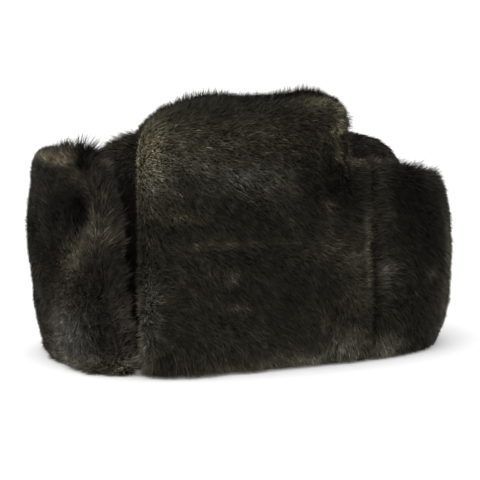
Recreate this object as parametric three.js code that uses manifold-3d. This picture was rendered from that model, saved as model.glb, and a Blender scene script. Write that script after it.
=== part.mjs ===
// A black fur ushanka, standing on its rim with the ear flaps folded up and tied over the crown.
// Millimetres, +Z up. The front flap faces -Y and the wearer's left ear is at +X.
// The origin is on the floor, under the middle of the hat.
// The flaps are padded panels with thick fur. The fur's outer form is rows of pointed locks, all one
// solid with the panel that carries them.
import * as THREE from "three";
import { mergeVertices } from "three/addons/utils/BufferGeometryUtils.js";
import Module from "manifold-3d";

const wasm = await Module();
wasm.setup();

// Driving dimensions
const RIM_HALF_WIDTH = 91; // middle of the flaps' thickness, at the ears
const RIM_HALF_LENGTH = 121; // middle of the flaps' thickness, front and back
const RIM_SQUARENESS = 2.95; // 2 is an ellipse, more is squarer
const FLAP_HALF_THICKNESS = 12; // padding and fur, each side of the flap's middle
const CROWN_WALL = 6.5;
const PIECE_GAP = 0.7;
const FRONT_FLAP_HEIGHT = 136;
const NECK_FLAP_HEIGHT = 128; // where it meets the ear flaps
const EAR_FLAP_LENGTH = 192; // from the floor, up the side and over the crown
const CROWN_HEIGHT = 143;

// Where the flaps start and end, as distances round the rim from the middle of the front
const FRONT_FLAP_END = 75.5;
const EAR_FLAP_START = 79;
const EAR_FLAP_NOTCH = 209; // the ear flap's rear edge, where it rises from the neck flap
const EAR_NECK_SEAM = 224;

// The fur's locks
const LOCK_PITCH = 22; // from one row of locks to the next
const LOCK_TIP = 0.8; // share of the pitch where a lock stands highest
const FRONT_LOCK_HEIGHT = 4.6;
const SIDE_LOCK_HEIGHT = 3.2;
const FRONT_TUFT = 2.2; // how far the locks along a flap's top edge rise above and below it
const SIDE_TUFT = 1.2;
const LOCK_SPREAD = 3; // how far neighbouring tips are staggered along the nap
const COLUMN_PITCH = 9; // a lock is two columns wide
const EDGE_COLUMNS = [0, 2.5, 7]; // distances from a rounded edge, before the even columns
const EDGE_ROWS = [7, 2.5, 0];

// Sections up a flap that stands against the crown: out is from the rim line, half is the half thickness
const STANDING_SECTION = [
  { out: -3.5, z: 0, half: 7.5 },
  { out: -1.4, z: 5, half: 10 },
  { out: 0, z: 14, half: 11.8 },
  { out: 0.8, z: 32, half: 12.8 },
  { out: 1.2, z: 60, half: 13.2 },
  { out: 0.8, z: 90, half: 12.8 },
  { out: 0.2, z: 112, half: 12.2 },
  { out: 0, z: 138, half: 12 },
];

// Sections up an ear flap, which leans in at the crown's shoulder and lies over its top
const EAR_SECTION = [
  { out: -3.5, z: 0, half: 7.5 },
  { out: -1.4, z: 5, half: 10 },
  { out: 0, z: 14, half: 11.8 },
  { out: 1, z: 32, half: 12.8 },
  { out: 1.6, z: 60, half: 13.4 },
  { out: 1, z: 86, half: 12.8 },
  { out: -1.5, z: 110, half: 12 },
  { out: -7.5, z: 128, half: 11.5 },
  { out: -19, z: 142, half: 11.2 },
  { out: -33, z: 149.5, half: 11.2 },
  { out: -48, z: 153.5, half: 11.2 },
  { out: -60, z: 154.5, half: 11.2 },
];
const LEAN_START = 100; // height above which an ear flap moves straight inwards
const LEAN_END = 150;
const EAR_SLIDE = 0.5; // how far a flap slides back round the rim, for each mm it leans in
const LEFT_FRONT_DRAWN = -4; // how far the front edge is drawn back beyond that, at the top
const RIGHT_FRONT_DRAWN = 48;
const LEFT_FRONT_CORNER = 60;
const RIGHT_FRONT_CORNER = 34;
const EAR_REAR_CORNER = 22;
const FRONT_TOP_CORNER = 24;
const FRONT_TOP_TAPER = 6; // how much further in the front flap's upper corners are

// Height of the neck flap against the distance from the middle of the back
const NECK_HEIGHTS = [
  { fromBack: 0, height: 110 },
  { fromBack: 60, height: 113 },
  { fromBack: 92, height: 120 },
  { fromBack: 116, height: 125.5 },
  { fromBack: 134, height: 128 },
];

// The crown's outer wall: width, front and rear are shares of its outline at the foot
const CROWN_SECTION = [
  { width: 1, front: 1, rear: 1, z: 0 },
  { width: 1, front: 1, rear: 1, z: 30 },
  { width: 1, front: 1, rear: 1, z: 62 },
  { width: 0.99, front: 0.995, rear: 1, z: 92 },
  { width: 0.965, front: 0.975, rear: 0.99, z: 108 },
  { width: 0.915, front: 0.94, rear: 0.97, z: 120 },
  { width: 0.83, front: 0.88, rear: 0.925, z: 129.5 },
  { width: 0.715, front: 0.79, rear: 0.86, z: 135.5 },
  { width: 0.55, front: 0.66, rear: 0.75, z: 139 },
  { width: 0.35, front: 0.46, rear: 0.54, z: 141.8 },
  { width: 0.16, front: 0.22, rear: 0.26, z: 142.8 },
];
const CROWN_COLUMNS = 56;

// Dents and swells pressed into the fur: at is the distance round the rim from the front, up is the
// distance up the flap, wide and tall are their half sizes and out is the depth or height
const FRONT_FLAP_DENTS = [
  { at: 42, up: 98, wide: 21, tall: 22, out: -12 },
  { at: 66, up: 84, wide: 11, tall: 48, out: 4 },
  { at: 62, up: 22, wide: 12, tall: 12, out: -4 },
  { at: -8, up: 60, wide: 30, tall: 34, out: 2 },
  { at: -34, up: 88, wide: 30, tall: 34, out: 3 },
];
const LEFT_EAR_DENTS = [
  { at: 96, up: 54, wide: 14, tall: 34, out: 3 },
  { at: 142, up: 78, wide: 40, tall: 9, out: -3 },
  { at: 190, up: 66, wide: 22, tall: 16, out: 3 },
  { at: 190, up: 164, wide: 22, tall: 30, out: 5.5 },
  { at: 146, up: 40, wide: 22, tall: 12, out: -2.5 },
];
const RIGHT_EAR_DENTS = [
  { at: 104, up: 66, wide: 16, tall: 34, out: 3 },
  { at: 156, up: 90, wide: 40, tall: 12, out: -3 },
  { at: 184, up: 54, wide: 22, tall: 18, out: 3 },
];
const NECK_DENTS = [
  { at: 238, up: 56, wide: 14, tall: 26, out: -3 },
  { at: 268, up: 74, wide: 20, tall: 26, out: 3 },
];

// The tie that holds the ear flaps up, hidden between them on the crown's top
const TIE_WIDTH = 11;
const TIE_THICKNESS = 1.8;
const TIE_CLEAR = 0.6; // over the crown
const TIE_END_GAP = 0.6;
const TIE_TAIL = 34;
const TIE_Y = 8;
const TIE_SIDES = 12;

const MATERIALS = {
  fur: new THREE.MeshStandardMaterial({ color: 0x191715, roughness: 0.75, metalness: 0 }),
  crown: new THREE.MeshStandardMaterial({ color: 0x171513, roughness: 0.7, metalness: 0 }),
  ribbon: new THREE.MeshStandardMaterial({ color: 0x101012, roughness: 0.5, metalness: 0 }),
};

// The rim line, as a superellipse measured by distance from the middle of the front
const RIM_SAMPLES = 1440;

function rimCorner(angle) {
  const power = 2 / RIM_SQUARENESS;
  const s = Math.sin(angle);
  const c = Math.cos(angle);
  const x = RIM_HALF_WIDTH * Math.sign(s) * Math.abs(s) ** power;
  const y = -RIM_HALF_LENGTH * Math.sign(c) * Math.abs(c) ** power;
  return new THREE.Vector2(x, y);
}

const rimPoints = Array.from({ length: RIM_SAMPLES + 1 }, (_, i) =>
  rimCorner((i / RIM_SAMPLES) * 2 * Math.PI));
const rimDistances = [0];
for (let i = 1; i <= RIM_SAMPLES; i++) {
  rimDistances.push(rimDistances[i - 1] + rimPoints[i].distanceTo(rimPoints[i - 1]));
}
const RIM_LENGTH = rimDistances[RIM_SAMPLES];

function rimPoint(distance) {
  const d = ((distance % RIM_LENGTH) + RIM_LENGTH) % RIM_LENGTH;
  let low = 0;
  let high = RIM_SAMPLES;
  while (high - low > 1) {
    const middle = (low + high) >> 1;
    if (rimDistances[middle] <= d) low = middle;
    else high = middle;
  }
  const share = (d - rimDistances[low]) / (rimDistances[high] - rimDistances[low]);
  return rimPoints[low].clone().lerp(rimPoints[high], share);
}

// The rim's outward normal, taken over a few millimetres so that it turns smoothly
function rimNormal(distance) {
  const step = 3;
  const along = rimPoint(distance + step).sub(rimPoint(distance - step)).normalize();
  return new THREE.Vector2(along.y, -along.x);
}

// A smooth value from a table of rows, by linear steps eased at each row
function tableValue(rows, key, name, at) {
  const last = rows.length - 1;
  if (at <= rows[0][key]) return rows[0][name];
  if (at >= rows[last][key]) return rows[last][name];
  const i = rows.findIndex((row) => row[key] > at) - 1;
  const share = (at - rows[i][key]) / (rows[i + 1][key] - rows[i][key]);
  return THREE.MathUtils.lerp(rows[i][name], rows[i + 1][name], share);
}

// A flap's section as a curve of out and z, with its half thickness by distance up the curve
function flapSection(rows) {
  const curve = new THREE.SplineCurve(rows.map((row) => new THREE.Vector2(row.out, row.z)));
  const length = curve.getLength();
  const lengths = curve.getLengths(200);
  const stations = rows.map((row, i) => ({
    along: lengths[Math.round((i / (rows.length - 1)) * 200)],
    half: row.half,
  }));
  return {
    at(up) {
      const share = THREE.MathUtils.clamp(up / length, 0, 1);
      const point = curve.getPointAt(share);
      const tangent = curve.getTangentAt(share);
      return { out: point.x, z: point.y, tangent, half: tableValue(stations, "along", "half", up) };
    },
  };
}

const standingSection = flapSection(STANDING_SECTION);
const earSection = flapSection(EAR_SECTION);

// The middle of a standing flap's thickness
function standingPlace(at, up) {
  const section = standingSection.at(up);
  const foot = rimPoint(at);
  const normal = rimNormal(at);
  return {
    point: new THREE.Vector3(foot.x + normal.x * section.out, foot.y + normal.y * section.out, section.z),
    normal: new THREE.Vector3(normal.x * section.tangent.y, normal.y * section.tangent.y,
      -section.tangent.x).normalize(),
    half: section.half,
  };
}

// The middle of the left ear flap's thickness: above LEAN_START it moves straight in, along -X, and
// slides back round the rim. Beside its seam it stands like the neck flap.
function earPlace(at, up, drawn) {
  const section = earSection.at(up);
  const share = THREE.MathUtils.inverseLerp(EAR_FLAP_START, EAR_FLAP_NOTCH, at);
  const lean = THREE.MathUtils.smoothstep(section.z, LEAN_START, LEAN_END);
  const slide = lean * Math.max(-section.out, 0) * EAR_SLIDE
    + drawn * (1 - share) * THREE.MathUtils.smoothstep(section.z, 80, 140);
  const foot = rimPoint(at + slide);
  const normal = rimNormal(at + slide);
  const outward = normal.lerp(new THREE.Vector2(1, 0), lean).normalize();
  const leaning = {
    point: new THREE.Vector3(foot.x + outward.x * section.out, foot.y + outward.y * section.out, section.z),
    normal: new THREE.Vector3(outward.x * section.tangent.y, outward.y * section.tangent.y,
      -section.tangent.x).normalize(),
    half: section.half,
  };
  const besideSeam = THREE.MathUtils.smoothstep(at, EAR_FLAP_NOTCH - 8, EAR_FLAP_NOTCH + 2)
    * (1 - THREE.MathUtils.smoothstep(up, NECK_FLAP_HEIGHT - 4, NECK_FLAP_HEIGHT + 20));
  const standing = standingPlace(at, up);
  return {
    point: leaning.point.lerp(standing.point, besideSeam),
    normal: leaning.normal.lerp(standing.normal, besideSeam).normalize(),
    half: THREE.MathUtils.lerp(leaning.half, standing.half, besideSeam),
  };
}

// A repeatable number from 0 to 1
function scatter(a, b) {
  const n = Math.sin(a * 127.1 + b * 311.7) * 43758.5453;
  return n - Math.floor(n);
}

// Rows up a flap: each row of locks has a root row and a tip row, and the top edge has its own rows
function flapRows(length) {
  const rows = [{ up: 0, tip: false, strip: 0 }, { up: 5, tip: false, strip: 0 }];
  const room = length - EDGE_ROWS[0] - LOCK_PITCH * 0.4;
  for (let strip = 0, root = 14; root < room; strip++, root += LOCK_PITCH) {
    rows.push({ up: root, tip: false, strip });
    const tip = root + LOCK_PITCH * LOCK_TIP;
    if (tip < room) rows.push({ up: tip, tip: true, strip });
  }
  EDGE_ROWS.forEach((edge) => rows.push({ up: length - edge, tip: false, strip: 0 }));
  return rows;
}

// Columns between two ends of a flap, closer together at the rounded ends
function flapColumns(start, end) {
  const edge = EDGE_COLUMNS[EDGE_COLUMNS.length - 1];
  const count = Math.round((end - start - 2 * edge) / COLUMN_PITCH);
  const step = (end - start - 2 * edge) / count;
  const columns = EDGE_COLUMNS.map((d) => start + d);
  for (let i = 1; i < count; i++) columns.push(start + edge + i * step);
  return [...columns, ...EDGE_COLUMNS.map((d) => end - d).reverse()];
}

// How much of its full half thickness a panel keeps at a distance from its rounded edge
function roundEdge(distance, radius, least) {
  const share = THREE.MathUtils.clamp(1 - distance / radius, 0, 1);
  return least + (1 - least) * Math.sqrt(1 - share * share);
}

function dentDepth(dents, at, up) {
  return dents.reduce((sum, dent) => {
    const away = ((at - dent.at) / dent.wide) ** 2 + ((up - dent.up) / dent.tall) ** 2;
    return sum + dent.out * Math.exp(-away);
  }, 0);
}

// Joins two matching grids of points, an outer and an inner one, into one closed panel
function closePanel(outer, inner, mirrored) {
  const rows = outer.length;
  const columns = outer[0].length;
  const points = [...outer.flat(), ...inner.flat()];
  const index = [];
  const at = (side, row, column) => side * rows * columns + row * columns + column;
  const quad = (a, b, c, d) => (mirrored ? index.push(a, c, b, a, d, c) : index.push(a, b, c, a, c, d));
  for (let r = 0; r < rows - 1; r++) {
    for (let c = 0; c < columns - 1; c++) {
      quad(at(0, r, c), at(0, r, c + 1), at(0, r + 1, c + 1), at(0, r + 1, c));
      quad(at(1, r, c), at(1, r + 1, c), at(1, r + 1, c + 1), at(1, r, c + 1));
    }
    quad(at(0, r, 0), at(0, r + 1, 0), at(1, r + 1, 0), at(1, r, 0));
    quad(at(0, r, columns - 1), at(1, r, columns - 1), at(1, r + 1, columns - 1), at(0, r + 1, columns - 1));
  }
  for (let c = 0; c < columns - 1; c++) {
    quad(at(0, 0, c), at(1, 0, c), at(1, 0, c + 1), at(0, 0, c + 1));
    quad(at(0, rows - 1, c), at(0, rows - 1, c + 1), at(1, rows - 1, c + 1), at(1, rows - 1, c));
  }
  const geometry = new THREE.BufferGeometry();
  geometry.setAttribute("position",
    new THREE.Float32BufferAttribute(points.flatMap((p) => [p.x, p.y, p.z]), 3));
  geometry.setIndex(index);
  return geometry;
}

// Builds a furred flap. place gives the middle of its thickness, height gives its length up at each
// column, and edge gives the share of thickness left near its outline. Rows keep their distance from
// the foot up to even, and share what is left above it.
function furredFlap({ columns, length, even, place, height, edge, dents, lock, tuft, seed, mirrored }) {
  const outer = [];
  const inner = [];
  flapRows(length).forEach((row, r) => {
    outer.push([]);
    inner.push([]);
    columns.forEach((at, c) => {
      const stagger = (c + row.strip) % 2 ? 1 : -1;
      const top = height(at) + tuft * (c % 2 ? 1 : -1);
      const rough = scatter(c + seed, row.strip + 3 * seed);
      const middle = columns.length - 1 - c > 1 && c > 1;
      const shift = row.tip && middle ? stagger * LOCK_SPREAD : 0;
      const share = Math.max(row.up - even, 0) / (length - even);
      const up = Math.min(Math.min(row.up, even) + share * (top - even) + shift, top);
      const spot = place(at, up);
      const kept = edge(at, up, top);
      const raised = row.tip ? lock(at) * (0.6 + 0.3 * stagger + 0.4 * (rough - 0.5)) : 0;
      const relief = (raised + dentDepth(dents, at, up)) * THREE.MathUtils.smoothstep(kept, 0.5, 1);
      const flat = r === 0 ? new THREE.Vector3(spot.normal.x, spot.normal.y, 0).normalize() : spot.normal;
      const out = spot.point.clone().addScaledVector(flat, spot.half * kept + (r ? relief : 0));
      const back = spot.point.clone().addScaledVector(flat, -spot.half * kept);
      [out, back].forEach((p) => {
        p.z = r === 0 ? 0 : Math.max(p.z, 0.5);
        if (mirrored) p.x = -p.x;
      });
      outer[r].push(out);
      inner[r].push(back);
    });
  });
  return closePanel(outer, inner, mirrored);
}

// The height of a panel whose upper corners are rounded with a radius
function roundedTop(top, fromEnd, radius) {
  const share = THREE.MathUtils.clamp(1 - fromEnd / radius, 0, 1);
  return top - radius * (1 - Math.sqrt(1 - share * share));
}

function frontFlap() {
  const columns = flapColumns(-FRONT_FLAP_END, FRONT_FLAP_END);
  const taper = (up) => 1 - (FRONT_TOP_TAPER / FRONT_FLAP_END)
    * THREE.MathUtils.smoothstep(up, 30, FRONT_FLAP_HEIGHT);
  return furredFlap({
    columns,
    length: FRONT_FLAP_HEIGHT,
    even: 100,
    place: (at, up) => standingPlace(at * taper(up), up),
    height: (at) => roundedTop(FRONT_FLAP_HEIGHT, FRONT_FLAP_END - Math.abs(at), FRONT_TOP_CORNER),
    edge: (at, up, top) => Math.min(
      roundEdge(FRONT_FLAP_END - Math.abs(at), 12, 0.12),
      roundEdge(top - up, 10, 0.22),
    ),
    dents: FRONT_FLAP_DENTS,
    lock: () => FRONT_LOCK_HEIGHT,
    tuft: FRONT_TUFT,
    seed: 1,
    mirrored: false,
  });
}

function neckHeight(at) {
  return tableValue(NECK_HEIGHTS, "fromBack", "height", Math.abs(RIM_LENGTH / 2 - at));
}

function neckFlap() {
  const start = EAR_NECK_SEAM + PIECE_GAP;
  const end = RIM_LENGTH - start;
  return furredFlap({
    columns: flapColumns(start, end),
    length: NECK_FLAP_HEIGHT,
    even: 96,
    place: standingPlace,
    height: neckHeight,
    edge: (at, up, top) => Math.min(
      roundEdge(Math.min(at - start, end - at), 9, 0.68),
      roundEdge(top - up, 13, 0.12),
    ),
    dents: [...NECK_DENTS, ...NECK_DENTS.map((dent) => ({ ...dent, at: RIM_LENGTH - dent.at }))],
    lock: () => SIDE_LOCK_HEIGHT,
    tuft: SIDE_TUFT,
    seed: 2,
    mirrored: false,
  });
}

function earFlap({ mirrored, drawn, frontCorner, dents, seed }) {
  const columns = [
    ...flapColumns(EAR_FLAP_START, EAR_FLAP_NOTCH),
    EAR_FLAP_NOTCH + 2.5,
    EAR_NECK_SEAM - 5,
    EAR_NECK_SEAM,
  ];
  const height = (at) => {
    if (at > EAR_FLAP_NOTCH + 1) return NECK_FLAP_HEIGHT;
    return Math.min(
      roundedTop(EAR_FLAP_LENGTH, at - EAR_FLAP_START, frontCorner),
      roundedTop(EAR_FLAP_LENGTH, EAR_FLAP_NOTCH - at, EAR_REAR_CORNER),
    );
  };
  const edge = (at, up, top) => {
    const fromFront = at - EAR_FLAP_START;
    const besideNeck = Math.max(NECK_FLAP_HEIGHT - up, 0);
    const fromNotch = Math.hypot(Math.max(EAR_FLAP_NOTCH - at, 0), besideNeck);
    return Math.min(
      roundEdge(fromFront, 13, 0.12),
      at > EAR_FLAP_NOTCH + 1 ? 1 : roundEdge(fromNotch, 13, 0.12),
      roundEdge(EAR_NECK_SEAM - at, 9, 0.68),
      roundEdge(top - up, 13, 0.12),
    );
  };
  return furredFlap({
    columns,
    length: EAR_FLAP_LENGTH,
    even: 96,
    place: (at, up) => earPlace(at, up, drawn),
    height,
    edge,
    dents,
    lock: (at) => (at < EAR_FLAP_NOTCH - 3 ? SIDE_LOCK_HEIGHT : 0),
    tuft: SIDE_TUFT,
    seed,
    mirrored,
  });
}

// Closes a stack of rings into one skin, from a ring at the start to a ring at the end
function ringSkin(rings, closedEnds) {
  const sides = rings[0].length;
  const points = rings.flat();
  const index = [];
  for (let r = 0; r < rings.length - 1; r++) {
    for (let i = 0; i < sides; i++) {
      const a = r * sides + i;
      const b = r * sides + ((i + 1) % sides);
      index.push(a, b, b + sides, a, b + sides, a + sides);
    }
  }
  if (closedEnds) {
    [0, rings.length - 1].forEach((r) => {
      const middle = rings[r].reduce((sum, p) => sum.add(p), new THREE.Vector3()).divideScalar(sides);
      points.push(middle);
      for (let i = 0; i < sides; i++) {
        const a = r * sides + i;
        const b = r * sides + ((i + 1) % sides);
        if (r === 0) index.push(points.length - 1, b, a);
        else index.push(points.length - 1, a, b);
      }
    });
  }
  const geometry = new THREE.BufferGeometry();
  geometry.setAttribute("position",
    new THREE.Float32BufferAttribute(points.flatMap((p) => [p.x, p.y, p.z]), 3));
  geometry.setIndex(index);
  return geometry;
}

function crownRing(row, inset, drop) {
  const offset = -(FLAP_HALF_THICKNESS + PIECE_GAP + inset);
  return Array.from({ length: CROWN_COLUMNS }, (_, i) => {
    const at = (i / CROWN_COLUMNS) * RIM_LENGTH;
    const foot = rimPoint(at).addScaledVector(rimNormal(at), offset);
    const length = foot.y < 0 ? row.front : row.rear;
    return new THREE.Vector3(foot.x * row.width, foot.y * length, Math.max(row.z - drop, 0));
  });
}

// The crown is a padded wall, open at the foot: up its outside, over the top and down its inside
function crown() {
  const outside = CROWN_SECTION.map((row) => crownRing(row, 0, 0));
  const inside = CROWN_SECTION.map((row, i) => {
    const lean = i < 2 ? 0 : THREE.MathUtils.smoothstep(row.z, 62, CROWN_HEIGHT);
    return crownRing(row, CROWN_WALL * (1 - 0.75 * lean), CROWN_WALL * lean);
  });
  const sides = CROWN_COLUMNS;
  const points = [...outside.flat(), ...[...inside].reverse().flat()];
  const half = outside.length * sides;
  const index = [];
  const band = (from, to) => {
    for (let i = 0; i < sides; i++) {
      const j = (i + 1) % sides;
      index.push(from + i, from + j, to + j, from + i, to + j, to + i);
    }
  };
  for (let r = 0; r < outside.length - 1; r++) {
    band(r * sides, (r + 1) * sides);
    band(half + r * sides, half + (r + 1) * sides);
  }
  band(half + (inside.length - 1) * sides, 0);
  points.push(new THREE.Vector3(0, 0, CROWN_HEIGHT), new THREE.Vector3(0, 0, CROWN_HEIGHT - CROWN_WALL));
  for (let i = 0; i < sides; i++) {
    const j = (i + 1) % sides;
    const top = (outside.length - 1) * sides;
    index.push(top + i, top + j, points.length - 2);
    index.push(half + j, half + i, points.length - 1);
  }
  const geometry = new THREE.BufferGeometry();
  geometry.setAttribute("position",
    new THREE.Float32BufferAttribute(points.flatMap((p) => [p.x, p.y, p.z]), 3));
  geometry.setIndex(index);
  return geometry;
}

// A flat ribbon through stations, each with its middle, width and thickness, across a direction
function ribbon(stations, across) {
  const up = new THREE.Vector3(0, 0, 1);
  const rings = stations.map((s) => Array.from({ length: TIE_SIDES }, (_, i) => {
    const angle = (i / TIE_SIDES) * 2 * Math.PI;
    const power = 0.6;
    const w = Math.sign(Math.cos(angle)) * Math.abs(Math.cos(angle)) ** power * (s.width / 2);
    const t = Math.sign(Math.sin(angle)) * Math.abs(Math.sin(angle)) ** power * (s.thick / 2);
    return s.middle.clone().addScaledVector(across, w).addScaledVector(up, t);
  }));
  return ringSkin(rings, true);
}

function solidOf(geometry) {
  const merged = mergeVertices(geometry, 1e-4);
  return new wasm.Manifold(new wasm.Mesh({
    numProp: 3,
    vertProperties: new Float32Array(merged.attributes.position.array),
    triVerts: new Uint32Array(merged.index.array),
  }));
}

function geometryOf(solid) {
  const mesh = solid.getMesh();
  const geometry = new THREE.BufferGeometry();
  geometry.setAttribute("position", new THREE.Float32BufferAttribute(mesh.vertProperties, 3));
  geometry.setIndex(new THREE.BufferAttribute(mesh.triVerts, 1));
  return geometry;
}

// The tie: a ribbon from one flap's end to the other's, its knot and two short tails
function tieRibbon() {
  const reach = RIM_HALF_WIDTH + EAR_SECTION[EAR_SECTION.length - 1].out - TIE_END_GAP;
  const flapEnd = EAR_SECTION[EAR_SECTION.length - 1].z;
  const bed = CROWN_HEIGHT + TIE_CLEAR + TIE_THICKNESS / 2;
  const half = [
    { x: reach, z: flapEnd, width: TIE_WIDTH, thick: TIE_THICKNESS },
    { x: reach * 0.75, z: flapEnd - 2.5, width: TIE_WIDTH, thick: TIE_THICKNESS },
    { x: reach * 0.5, z: flapEnd - 5.5, width: TIE_WIDTH, thick: TIE_THICKNESS },
    { x: 8, z: bed + 2.6, width: 9, thick: TIE_THICKNESS },
    { x: 5, z: bed + 2.8, width: 10, thick: 6 },
  ];
  const knot = { x: 0, z: bed + 3.4, width: 12, thick: 8 };
  const band = [...half.map((s) => ({ ...s, x: -s.x })), knot, ...half.reverse()];
  const bandSolid = solidOf(ribbon(
    band.map((s) => ({ ...s, middle: new THREE.Vector3(s.x, TIE_Y, s.z) })),
    new THREE.Vector3(0, 1, 0),
  ));
  const tail = [
    { y: -TIE_TAIL, x: -5, z: bed },
    { y: -TIE_TAIL / 2, x: -2, z: bed + 0.2 },
    { y: -4, x: 0, z: bed + 1.8 },
    { y: 4, x: 0, z: bed + 1.8 },
    { y: TIE_TAIL / 2, x: 2, z: bed + 0.2 },
    { y: TIE_TAIL, x: 5, z: bed },
  ];
  const tailSolid = solidOf(ribbon(
    tail.map((s) => ({
      middle: new THREE.Vector3(s.x, TIE_Y + s.y, s.z),
      width: TIE_WIDTH - 2,
      thick: TIE_THICKNESS,
    })),
    new THREE.Vector3(-1, 0, 0),
  ));
  return geometryOf(bandSolid.add(tailSolid));
}

const LEFT_EAR_FLAP = {
  mirrored: false, drawn: LEFT_FRONT_DRAWN, frontCorner: LEFT_FRONT_CORNER, dents: LEFT_EAR_DENTS, seed: 3,
};
const RIGHT_EAR_FLAP = {
  mirrored: true, drawn: RIGHT_FRONT_DRAWN, frontCorner: RIGHT_FRONT_CORNER, dents: RIGHT_EAR_DENTS, seed: 4,
};

function named(name, geometry, material) {
  const mesh = new THREE.Mesh(geometry, material);
  mesh.name = name;
  return mesh;
}

const ushanka = new THREE.Group();
ushanka.add(
  named("crown", crown(), MATERIALS.crown),
  named("front_flap", frontFlap(), MATERIALS.fur),
  named("left_ear_flap", earFlap(LEFT_EAR_FLAP), MATERIALS.fur),
  named("right_ear_flap", earFlap(RIGHT_EAR_FLAP), MATERIALS.fur),
  named("neck_flap", neckFlap(), MATERIALS.fur),
  named("tie_ribbon", tieRibbon(), MATERIALS.ribbon),
);

// The hat's box is centred over the origin
const box = new THREE.Box3().setFromObject(ushanka);
ushanka.position.set(-(box.min.x + box.max.x) / 2, -(box.min.y + box.max.y) / 2, 0);

export default ushanka;
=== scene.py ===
import math

import bpy
import numpy as np
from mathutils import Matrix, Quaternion, Vector


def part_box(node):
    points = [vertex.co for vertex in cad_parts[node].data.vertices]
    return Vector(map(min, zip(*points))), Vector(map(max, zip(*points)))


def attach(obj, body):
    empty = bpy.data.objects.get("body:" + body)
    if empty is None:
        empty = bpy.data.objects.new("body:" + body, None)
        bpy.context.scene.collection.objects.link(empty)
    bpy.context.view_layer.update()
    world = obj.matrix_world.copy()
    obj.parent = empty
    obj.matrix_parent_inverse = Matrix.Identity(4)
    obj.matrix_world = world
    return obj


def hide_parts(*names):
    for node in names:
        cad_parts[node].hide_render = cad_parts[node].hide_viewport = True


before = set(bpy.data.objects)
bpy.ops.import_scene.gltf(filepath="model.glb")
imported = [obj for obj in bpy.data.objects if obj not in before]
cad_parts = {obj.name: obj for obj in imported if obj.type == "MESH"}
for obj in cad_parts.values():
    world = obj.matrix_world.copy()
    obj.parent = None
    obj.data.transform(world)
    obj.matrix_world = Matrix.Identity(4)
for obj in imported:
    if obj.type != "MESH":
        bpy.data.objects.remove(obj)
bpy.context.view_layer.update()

MM = 0.001

# Where the middle of the rim lies in the frame
crown_low, crown_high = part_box("crown")
home = np.array([(crown_low.x + crown_high.x) / 2, (crown_low.y + crown_high.y) / 2, 0.0])

# Sizes in millimetres, as in the part's source

RIM_HALF_WIDTH = 91.0
RIM_HALF_LENGTH = 121.0
RIM_SQUARENESS = 2.95
FLAP_HALF_THICKNESS = 12.0
CROWN_WALL = 6.5
PIECE_GAP = 0.7
FRONT_FLAP_HEIGHT = 136.0
NECK_FLAP_HEIGHT = 128.0
EAR_FLAP_LENGTH = 192.0
CROWN_HEIGHT = 143.0
CROWN_PILE = 1.6
CROWN_COLUMNS = 110
CROWN_LEVELS = 45
CROWN_FUR_LENGTH = 4.2
CROWN_LIE = 1.1
CROWN_RAGGED = 0.8
# How much painted sheen makes the crown's fur paler on its front and rear shoulders
SHOULDER_SHEEN = 1.6
REAR_SHEEN = 0.8
BROW_FUR_LENGTH = 7
BROW_PLACE = -66
BROW_REACH = 14
BROW_LIFT = 0.35
FRONT_FLAP_END = 75.5
EAR_FLAP_START = 79.0
EAR_FLAP_NOTCH = 209.0
EAR_NECK_SEAM = 224.0
FRONT_TOP_CORNER = 24.0
FRONT_TOP_TAPER = 6.0
LEAN_START = 100.0
LEAN_END = 150.0
EAR_SLIDE = 0.5
LEFT_FRONT_CORNER = 60.0
RIGHT_FRONT_CORNER = 34.0
EAR_REAR_CORNER = 22.0
LEFT_FRONT_DRAWN = -4.0
RIGHT_FRONT_DRAWN = 48.0
FOOT_LEVEL = 0.6
LEAST_LEVEL = 0.8

# Edges: how far in from its border a panel thins, and the share of its thickness left there
EDGE_ROUND = 13
EDGE_LEAST = 0.12
SEAM_ROUND = 9
SEAM_LEAST = 0.68
FRONT_SIDE_ROUND = 12
FRONT_TOP_ROUND = 10
FRONT_TOP_LEAST = 0.22

# How far a skin stands in from its solid's outline, to leave room for the fur
FUR_EDGE = 4.0
EDGE_REACH = 24
SEAM_DRAWN = 0.8
LEFT_TOP_DRAWN = 2.8
RIGHT_TOP_DRAWN = 1.0

# Rows of how much further in the front flap's left end stands, and the heights where that sets in
FRONT_END_DRAWN = ((3.2, 24, 66), (6.0, 104, 128))

# Swells of the padding, in rows of height, length and seed
FLAP_WAVES = ((0.9, 46, 0), (0.5, 19, 9))
CROWN_WAVES = ((0.6, 42, 31), (0.3, 17, 32))

# The fur on a flap's hidden inner side, as against the outer side's
INNER_PILE_SHARE = 0.5
INNER_LIE = 1.2
# The inner side's tone darkens its fur as painted shade, that side being in shade
INNER_PAINTED_SHADE = 0.45
INNER_FULLNESS = 0.12
INNER_EDGE_FULLNESS = 0.9
INNER_EDGE_SHARE = 0.93

# How unequal the hairs' lengths are: everywhere, more at the foot, more at the edges, and the least
RAGGED = 0.6
FOOT_RAGGED = 1.6
EDGE_RAGGED = 1.4
LEAST_RAGGED = 0.2
# The least tone, which bounds how dark painted shade makes the fur
LEAST_TONE = 0.15

# Rows of out, z and half thickness up a flap that stands against the crown, and up an ear flap
STANDING_SECTION = np.array([
    (-3.5, 0, 7.5), (-1.4, 5, 10), (0, 14, 11.8), (0.8, 32, 12.8), (1.2, 60, 13.2),
    (0.8, 90, 12.8), (0.2, 112, 12.2), (0, 138, 12),
])
EAR_SECTION = np.array([
    (-3.5, 0, 7.5), (-1.4, 5, 10), (0, 14, 11.8), (1, 32, 12.8), (1.6, 60, 13.4), (1, 86, 12.8),
    (-1.5, 110, 12), (-7.5, 128, 11.5), (-19, 142, 11.2), (-33, 149.5, 11.2), (-48, 153.5, 11.2),
    (-60, 154.5, 11.2),
])

# Rows of distance from the middle of the back, and the neck flap's height there
NECK_HEIGHTS = np.array([(0, 110), (60, 113), (92, 120), (116, 125.5), (134, 128)])

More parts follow.
